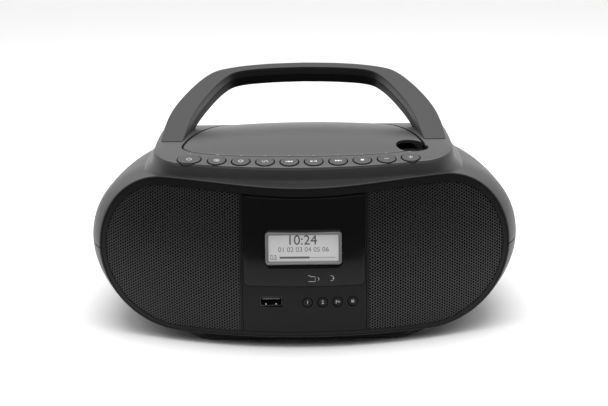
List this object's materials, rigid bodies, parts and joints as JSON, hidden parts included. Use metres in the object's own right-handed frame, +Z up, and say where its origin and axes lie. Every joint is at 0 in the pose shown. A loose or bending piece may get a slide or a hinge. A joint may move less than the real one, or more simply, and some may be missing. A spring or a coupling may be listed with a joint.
{
  "type": "portable CD and radio player",
  "caption": "Portable stereo player with a disc well under a hinged lid, perforated speaker grilles, a display, press keys, a carrying handle and a telescopic aerial.",
  "frame": {"origin": "on the ground, below the middle of the whole object's box", "axes": "+Z up, the front with its grilles and display faces -Y, +X to the right as seen from the front"},
  "size_m": [0.306, 0.2368, 0.1679],
  "materials": {
    "shell": "charcoal grey plastic, fine satin texture",
    "deck": "mid grey plastic, fine satin texture",
    "lid": "darker grey plastic, satin",
    "handle": "dark grey plastic, satin",
    "frame": "black plastic, fine texture",
    "window": "black tinted plastic, polished",
    "grille": "perforated steel sheet, black powder coat",
    "screen": "pale grey liquid crystal display under clear plastic",
    "key": "dark grey plastic, satin, white printed symbols",
    "well": "black plastic, satin",
    "rubber": "black rubber, matt",
    "steel": "zinc plated steel",
    "chrome": "polished plated tube",
    "cone": "black pressed paper",
    "board": "green circuit board",
    "inside": "black moulded plastic"
  },
  "bodies": {
    "case": {"top_case": "shell", "bottom_case": "shell", "top_deck": "deck", "cd_well": "well", "handle": "handle", "handle_grip": "handle", "front_baffle": "frame", "front_panel": "frame", "display_window": "window", "lcd_module": "screen", "usb_socket": "steel", "grille_left": "grille", "grille_right": "grille", "speaker_left": "steel", "speaker_right": "steel", "battery_tray": "inside", "mains_inlet": "frame", "jack_block": "frame", "main_board": "board", "front_board": "board", "key_board": "board", "transformer": "steel", "drive_chassis": "inside", "pickup_rail_front": "steel", "pickup_rail_rear": "steel", "spindle_motor": "steel", "rubber_foot_1": "rubber", "rubber_foot_2": "rubber", "rubber_foot_3": "rubber", "rubber_foot_4": "rubber", "case_screw_1": "steel", "case_screw_2": "steel", "case_screw_3": "steel", "case_screw_4": "steel"},
    "cd_door": {"cd_door": "lid", "disc_clamp": "well"},
    "spindle_hub": {"spindle_hub": "well"},
    "pickup_sled": {"pickup_sled": "inside"},
    "key_power": {"key_power": "key"},
    "deck_key_1": {"deck_key_1": "key"},
    "deck_key_2": {"deck_key_2": "key"},
    "deck_key_3": {"deck_key_3": "key"},
    "deck_key_4": {"deck_key_4": "key"},
    "deck_key_5": {"deck_key_5": "key"},
    "deck_key_6": {"deck_key_6": "key"},
    "deck_key_7": {"deck_key_7": "key"},
    "deck_key_8": {"deck_key_8": "key"},
    "deck_key_9": {"deck_key_9": "key"},
    "front_key_1": {"front_key_1": "frame"},
    "front_key_2": {"front_key_2": "frame"},
    "front_key_3": {"front_key_3": "frame"},
    "front_key_4": {"front_key_4": "frame"},
    "speaker_cone_left": {"speaker_cone_left": "cone"},
    "speaker_cone_right": {"speaker_cone_right": "cone"},
    "aerial_swivel": {"aerial_swivel": "frame"},
    "aerial_mast_1": {"aerial_mast_1": "chrome"},
    "aerial_mast_2": {"aerial_mast_2": "chrome"},
    "aerial_mast_3": {"aerial_mast_3": "chrome"},
    "battery_door": {"battery_door": "shell"}
  },
  "joints": [
    {"name": "cd_door_hinge", "type": "hinge", "parent": "case", "child": "cd_door", "pos_m": [0, 0.066, 0.11426], "axis": [-1, 0, 0], "range_deg": [0, 45]},
    {"name": "spindle_spin", "type": "hinge", "parent": "case", "child": "spindle_hub", "pos_m": [0, -0.0035, 0.103], "axis": [0, 0, 1], "continuous": true},
    {"name": "pickup_slide", "type": "slide", "parent": "case", "child": "pickup_sled", "axis": [1, 0, 0], "range_m": [0, 0.033]},
    {"name": "key_power_press", "type": "slide", "parent": "case", "child": "key_power", "axis": [0, 0.2271, -0.9739], "range_m": [0, 0.0008], "stiffness_N_per_m": 900, "springref_m": -0.0004},
    {"name": "deck_key_1_press", "type": "slide", "parent": "case", "child": "deck_key_1", "axis": [0, 0.2349, -0.972], "range_m": [0, 0.0008], "stiffness_N_per_m": 900, "springref_m": -0.0004},
    {"name": "deck_key_2_press", "type": "slide", "parent": "case", "child": "deck_key_2", "axis": [0, 0.2399, -0.9708], "range_m": [0, 0.0008], "stiffness_N_per_m": 900, "springref_m": -0.0004},
    {"name": "deck_key_3_press", "type": "slide", "parent": "case", "child": "deck_key_3", "axis": [0, 0.2432, -0.97], "range_m": [0, 0.0008], "stiffness_N_per_m": 900, "springref_m": -0.0004},
    {"name": "deck_key_4_press", "type": "slide", "parent": "case", "child": "deck_key_4", "axis": [0, 0.245, -0.9695], "range_m": [0, 0.0008], "stiffness_N_per_m": 900, "springref_m": -0.0004},
    {"name": "deck_key_5_press", "type": "slide", "parent": "case", "child": "deck_key_5", "axis": [0, 0.2451, -0.9695], "range_m": [0, 0.0008], "stiffness_N_per_m": 900, "springref_m": -0.0004},
    {"name": "deck_key_6_press", "type": "slide", "parent": "case", "child": "deck_key_6", "axis": [0, 0.2436, -0.9699], "range_m": [0, 0.0008], "stiffness_N_per_m": 900, "springref_m": -0.0004},
    {"name": "deck_key_7_press", "type": "slide", "parent": "case", "child": "deck_key_7", "axis": [0, 0.2404, -0.9707], "range_m": [0, 0.0008], "stiffness_N_per_m": 900, "springref_m": -0.0004},
    {"name": "deck_key_8_press", "type": "slide", "parent": "case", "child": "deck_key_8", "axis": [0, 0.2356, -0.9718], "range_m": [0, 0.0008], "stiffness_N_per_m": 900, "springref_m": -0.0004},
    {"name": "deck_key_9_press", "type": "slide", "parent": "case", "child": "deck_key_9", "axis": [0, 0.2292, -0.9734], "range_m": [0, 0.0008], "stiffness_N_per_m": 900, "springref_m": -0.0004},
    {"name": "front_key_1_press", "type": "slide", "parent": "case", "child": "front_key_1", "axis": [0, 1, 0], "range_m": [0, 0.0008], "stiffness_N_per_m": 900, "springref_m": -0.0004},
    {"name": "front_key_2_press", "type": "slide", "parent": "case", "child": "front_key_2", "axis": [0, 1, 0], "range_m": [0, 0.0008], "stiffness_N_per_m": 900, "springref_m": -0.0004},
    {"name": "front_key_3_press", "type": "slide", "parent": "case", "child": "front_key_3", "axis": [0, 1, 0], "range_m": [0, 0.0008], "stiffness_N_per_m": 900, "springref_m": -0.0004},
    {"name": "front_key_4_press", "type": "slide", "parent": "case", "child": "front_key_4", "axis": [0, 1, 0], "range_m": [0, 0.0008], "stiffness_N_per_m": 900, "springref_m": -0.0004},
    {"name": "speaker_cone_left_stroke", "type": "slide", "parent": "case", "child": "speaker_cone_left", "axis": [-0.3103, -0.9383, 0.1529], "range_m": [-0.0008, 0.0008], "stiffness_N_per_m": 1500},
    {"name": "speaker_cone_right_stroke", "type": "slide", "parent": "case", "child": "speaker_cone_right", "axis": [0.3103, -0.9383, 0.1529], "range_m": [-0.0008, 0.0008], "stiffness_N_per_m": 1500},
    {"name": "aerial_swing", "type": "hinge", "parent": "case", "child": "aerial_swivel", "pos_m": [-0.094, 0.1147, 0.088], "axis": [0, -1, 0], "range_deg": [0, 180]},
    {"name": "aerial_tilt", "type": "hinge", "parent": "aerial_swivel", "child": "aerial_mast_1", "pos_m": [-0.094, 0.1147, 0.088], "axis": [0, 0, 1], "range_deg": [0, 90]},
    {"name": "aerial_extend_1", "type": "slide", "parent": "aerial_mast_1", "child": "aerial_mast_2", "axis": [1, 0, 0], "range_m": [0, 0.14]},
    {"name": "aerial_extend_2", "type": "slide", "parent": "aerial_mast_2", "child": "aerial_mast_3", "axis": [1, 0, 0], "range_m": [0, 0.135]},
    {"name": "battery_door_hinge", "type": "hinge", "parent": "case", "child": "battery_door", "pos_m": [0, 0.1099, 0.0264], "axis": [-1, 0, 0], "range_deg": [0, 75]}
  ]
}
